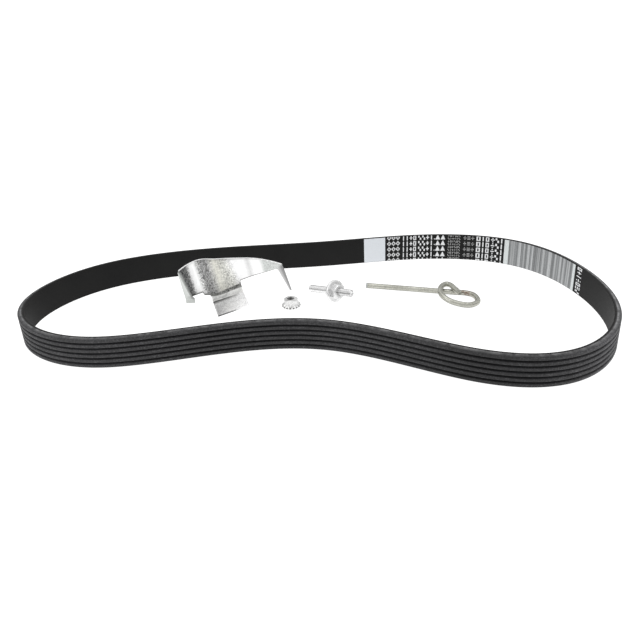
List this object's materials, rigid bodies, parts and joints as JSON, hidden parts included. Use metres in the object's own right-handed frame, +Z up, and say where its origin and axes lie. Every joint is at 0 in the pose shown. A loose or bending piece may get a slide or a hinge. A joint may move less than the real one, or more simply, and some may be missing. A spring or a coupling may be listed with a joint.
{
  "type": "ribbed belt kit",
  "caption": "Ribbed drive belt standing on edge as a closed loop, with its loose fitting pieces inside: a sheet-metal tool, a serrated flange nut, a collared stud and a bent-wire lock pin",
  "frame": {"origin": "on the flat surface the kit lies on, under the middle of the belt loop's bounding box", "axes": "+X along the longer side of the loop, +Y from the dented front span to the smooth back span, +Z up, along the belt's width"},
  "size_m": [0.4102, 0.211, 0.0417],
  "materials": {
    "belt_rubber": "matt black rubber with ground rib flanks and fine fibre fuzz",
    "belt_cords": "bonded yarn, hidden inside the belt",
    "belt_backing": "smooth black rubber-faced backing",
    "zinc_sheet": "bright zinc-plated pressed sheet with mottled grain",
    "nut_zinc": "bright zinc plating",
    "stud_zinc": "bright zinc plating",
    "pin_wire": "dull zinc-plated drawn wire"
  },
  "bodies": {
    "belt": {"belt_ribbed_rubber": "belt_rubber", "belt_tensile_cords": "belt_cords", "belt_backing": "belt_backing"},
    "fitting_tool": {"fitting_tool": "zinc_sheet"},
    "flange_nut": {"flange_nut": "nut_zinc"},
    "collar_stud": {"collar_stud": "stud_zinc"},
    "lock_pin": {"lock_pin": "pin_wire"}
  },
  "joints": [
    {"name": "tool_lift", "type": "slide", "parent": "belt", "child": "fitting_tool", "axis": [0, 0, 1], "range_m": [0, 0.06]},
    {"name": "nut_lift", "type": "slide", "parent": "belt", "child": "flange_nut", "axis": [0, 0, 1], "range_m": [0, 0.06]},
    {"name": "stud_lift", "type": "slide", "parent": "belt", "child": "collar_stud", "axis": [0, 0, 1], "range_m": [0, 0.06]},
    {"name": "pin_lift", "type": "slide", "parent": "belt", "child": "lock_pin", "axis": [0, 0, 1], "range_m": [0, 0.06]}
  ]
}
